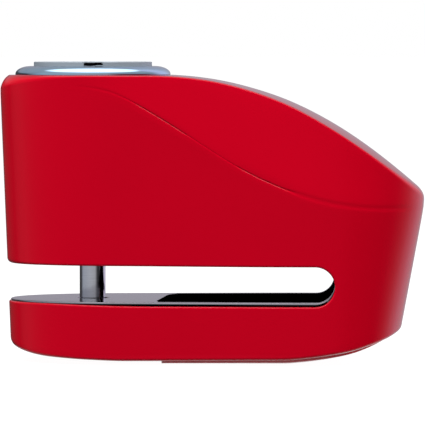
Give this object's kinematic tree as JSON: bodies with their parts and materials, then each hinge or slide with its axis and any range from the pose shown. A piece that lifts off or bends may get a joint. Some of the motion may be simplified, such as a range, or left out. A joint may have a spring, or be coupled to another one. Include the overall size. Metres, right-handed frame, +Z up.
{
  "type": "disc brake lock",
  "caption": "Motorcycle disc brake lock: slotted body, push-down cylinder housing with locking pin, and a key barrel whose latch frees it.",
  "frame": {"origin": "bottom centre of the whole lock, on the flat underside of the cover plate", "axes": "+X towards the closed end of the disc slot, +Z up along the locking pin, towards the key"},
  "size_m": [0.0926, 0.0448, 0.0649],
  "materials": {
    "red_paint": "high-gloss lacquer",
    "jaw_steel": "ground and polished",
    "chrome_trim": "mirror",
    "cylinder_chrome": "satin",
    "liner_black": "matt",
    "seal_rubber": "matt",
    "barrel_brass": "machined",
    "screw_steel": "black oxide",
    "spring_steel": "drawn wire",
    "pin_steel": "polished"
  },
  "bodies": {
    "body": {"front_shell": "red_paint", "rear_shell": "red_paint", "steel_core": "jaw_steel", "throat_liner": "liner_black", "bottom_plate": "red_paint", "plate_screw_1": "screw_steel", "plate_screw_2": "screw_steel", "shell_screw_1": "screw_steel", "shell_screw_2": "screw_steel", "shell_screw_3": "screw_steel", "bezel_ring": "chrome_trim", "wiper_seal": "seal_rubber", "pin_guide_bush": "barrel_brass", "guide_screw": "screw_steel", "return_spring": "spring_steel"},
    "plunger": {"cylinder_housing": "cylinder_chrome", "face_plate": "cylinder_chrome", "locking_pin": "pin_steel", "pin_cross_dowel": "screw_steel", "latch_spring": "spring_steel"},
    "key_barrel": {"key_plug": "barrel_brass", "keyhole_shield": "screw_steel", "side_bar": "jaw_steel", "drive_cam": "screw_steel", "lock_disc_1": "barrel_brass", "lock_disc_2": "barrel_brass", "lock_disc_3": "barrel_brass", "lock_disc_4": "barrel_brass", "lock_disc_5": "barrel_brass", "lock_disc_6": "barrel_brass"},
    "latch": {"latch_bolt": "jaw_steel"}
  },
  "joints": [
    {"name": "bolt_slide", "type": "slide", "parent": "body", "child": "plunger", "axis": [0, 0, 1], "range_m": [0, 0.0125], "deforming": ["return_spring"]},
    {"name": "key_turn", "type": "hinge", "parent": "plunger", "child": "key_barrel", "pos_m": [-0.02607, 0, 0.0534], "axis": [0, 0, -1], "range_deg": [0, 90]},
    {"name": "latch_slide", "type": "slide", "parent": "plunger", "child": "latch", "axis": [-1, 0, 0], "range_m": [0, 0.003], "deforming": ["latch_spring"]}
  ],
  "couplings": [
    {"joint": "latch_slide", "follows": "key_turn", "m_per_rad": 0.0019}
  ]
}
